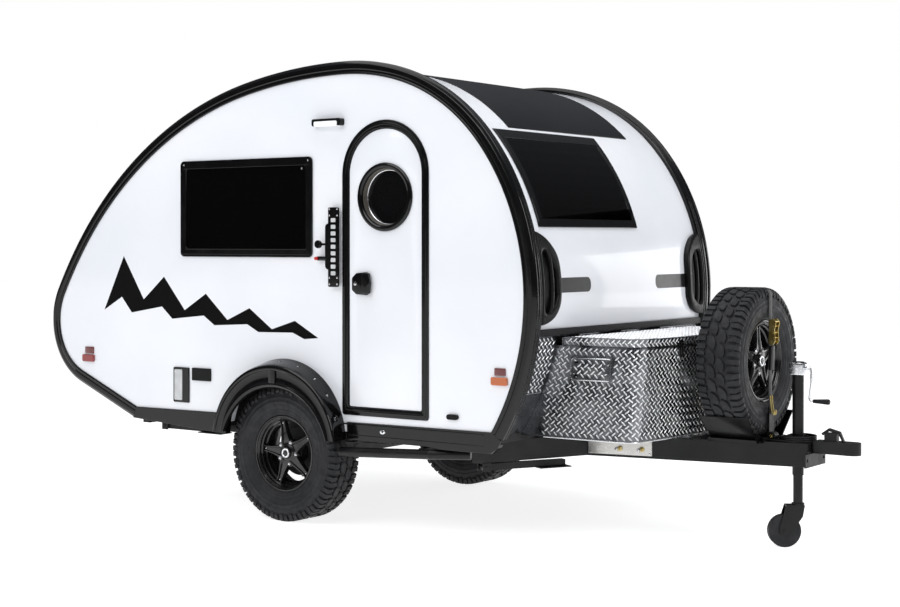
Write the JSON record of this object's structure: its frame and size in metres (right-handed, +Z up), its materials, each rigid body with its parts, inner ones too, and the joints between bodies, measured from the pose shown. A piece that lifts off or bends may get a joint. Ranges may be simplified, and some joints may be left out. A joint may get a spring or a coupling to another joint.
{
  "type": "teardrop trailer",
  "caption": "Compact teardrop camping trailer: sandwich-panel body with arched door, porthole and windows, A-frame tongue with box, spare wheel, jack and ball coupler.",
  "frame": {"origin": "on the ground, under the middle of the overall length and width", "axes": "+X towards the coupler, +Y to the left-hand side, +Z up"},
  "size_m": [4.4877, 1.98, 2.326],
  "materials": {
    "frame_black": "satin black powder coat",
    "coupler_black": "gloss black",
    "steel": "zinc plated",
    "floor": "sealed plywood composite",
    "skin": "gloss white",
    "vent_white": "semi-gloss white",
    "trim": "gloss black",
    "black_plastic": "gloss black",
    "glass": "dark tinted",
    "solar": "dark cells under clear film",
    "flare": "satin black moulded",
    "tyre": "matt rubber",
    "rim": "satin black",
    "checker_plate": "bright five-bar plate",
    "stainless": "stainless",
    "strap": "woven webbing",
    "amber": "lens",
    "red": "lens",
    "grey_plastic": "satin grey",
    "cable_black": "black rubber sheath"
  },
  "bodies": {
    "trailer": {"chassis_frame": "frame_black", "tongue_beams": "frame_black", "axle": "frame_black", "spare_carrier": "frame_black", "step_bars": "frame_black", "stabiliser_mounts": "frame_black", "coupler": "coupler_black", "jack_post": "coupler_black", "tool_bracket": "coupler_black", "floor_panel": "floor", "right_wall": "skin", "left_wall": "skin", "roof_panel": "skin", "front_wall": "skin", "rear_wall": "skin", "roof_vent": "vent_white", "right_trim": "trim", "left_trim": "trim", "sills": "trim", "door_frame": "trim", "front_strip": "trim", "window_frames": "black_plastic", "grab_handles": "black_plastic", "side_fittings": "black_plastic", "window_panes": "glass", "solar_panel": "solar", "right_flare": "flare", "left_flare": "flare", "spare_tyre": "tyre", "spare_rim": "rim", "tongue_box": "checker_plate", "front_cladding": "checker_plate", "gas_plate": "stainless", "spare_strap": "strap", "amber_lamps": "amber", "red_lamps": "red", "utility_panel": "grey_plastic", "cable_lead": "cable_black", "cable_coil": "cable_black", "cable_tail": "cable_black", "cable_plug": "cable_black"},
    "right_wheel": {"right_tyre": "tyre", "right_rim": "rim"},
    "left_wheel": {"left_tyre": "tyre", "left_rim": "rim"},
    "entry_door": {"door": "skin", "porthole_ring": "black_plastic", "porthole_glass": "glass", "door_latch": "black_plastic"},
    "tongue_box_lid": {"box_lid": "checker_plate"},
    "tongue_box_hatch": {"box_hatch": "checker_plate"},
    "jack_tube": {"jack_inner_tube": "steel"},
    "jack_caster": {"jack_fork": "steel"},
    "jack_roller": {"jack_wheel": "tyre"},
    "front_right_stabiliser": {"front_right_leg": "frame_black"},
    "front_left_stabiliser": {"front_left_leg": "frame_black"},
    "rear_right_stabiliser": {"rear_right_leg": "frame_black"},
    "rear_left_stabiliser": {"rear_left_leg": "frame_black"}
  },
  "joints": [
    {"name": "right_wheel_spin", "type": "hinge", "parent": "trailer", "child": "right_wheel", "pos_m": [-0.48313, -0.795, 0.348], "axis": [0, 1, 0], "continuous": true},
    {"name": "left_wheel_spin", "type": "hinge", "parent": "trailer", "child": "left_wheel", "pos_m": [-0.48313, 0.795, 0.348], "axis": [0, 1, 0], "continuous": true},
    {"name": "door_hinge", "type": "hinge", "parent": "trailer", "child": "entry_door", "pos_m": [0.40487, -0.898, 1.2], "axis": [0, 0, 1], "range_deg": [0, 165]},
    {"name": "lid_hinge", "type": "hinge", "parent": "trailer", "child": "tongue_box_lid", "pos_m": [1.03687, 0, 0.9865], "axis": [0, -1, 0], "range_deg": [0, 75]},
    {"name": "hatch_hinge", "type": "hinge", "parent": "trailer", "child": "tongue_box_hatch", "pos_m": [1.29587, -0.6392, 0.83658], "axis": [0, 0.1158, 0.9933], "range_deg": [0, 110]},
    {"name": "jack_slide", "type": "slide", "parent": "trailer", "child": "jack_tube", "axis": [0, 0, 1], "range_m": [-0.12, 0.12]},
    {"name": "jack_swivel", "type": "hinge", "parent": "jack_tube", "child": "jack_caster", "pos_m": [1.93687, 0, 0.2], "axis": [0, 0, 1], "continuous": true},
    {"name": "jack_wheel_spin", "type": "hinge", "parent": "jack_caster", "child": "jack_roller", "pos_m": [1.88408, -0.03793, 0.0765], "axis": [0.5835, -0.8121, 0], "continuous": true},
    {"name": "front_right_leg_fold", "type": "hinge", "parent": "trailer", "child": "front_right_stabiliser", "pos_m": [0.70187, -0.8, 0.364], "axis": [-0.8746, 0.4848, 0], "range_deg": [0, 49]},
    {"name": "front_left_leg_fold", "type": "hinge", "parent": "trailer", "child": "front_left_stabiliser", "pos_m": [0.70187, 0.8, 0.364], "axis": [0.8746, 0.4848, 0], "range_deg": [0, 49]},
    {"name": "rear_right_leg_fold", "type": "hinge", "parent": "trailer", "child": "rear_right_stabiliser", "pos_m": [-1.49513, -0.7, 0.41], "axis": [0, 1, 0], "range_deg": [0, 62]},
    {"name": "rear_left_leg_fold", "type": "hinge", "parent": "trailer", "child": "rear_left_stabiliser", "pos_m": [-1.49513, 0.7, 0.41], "axis": [0, 1, 0], "range_deg": [0, 62]}
  ]
}
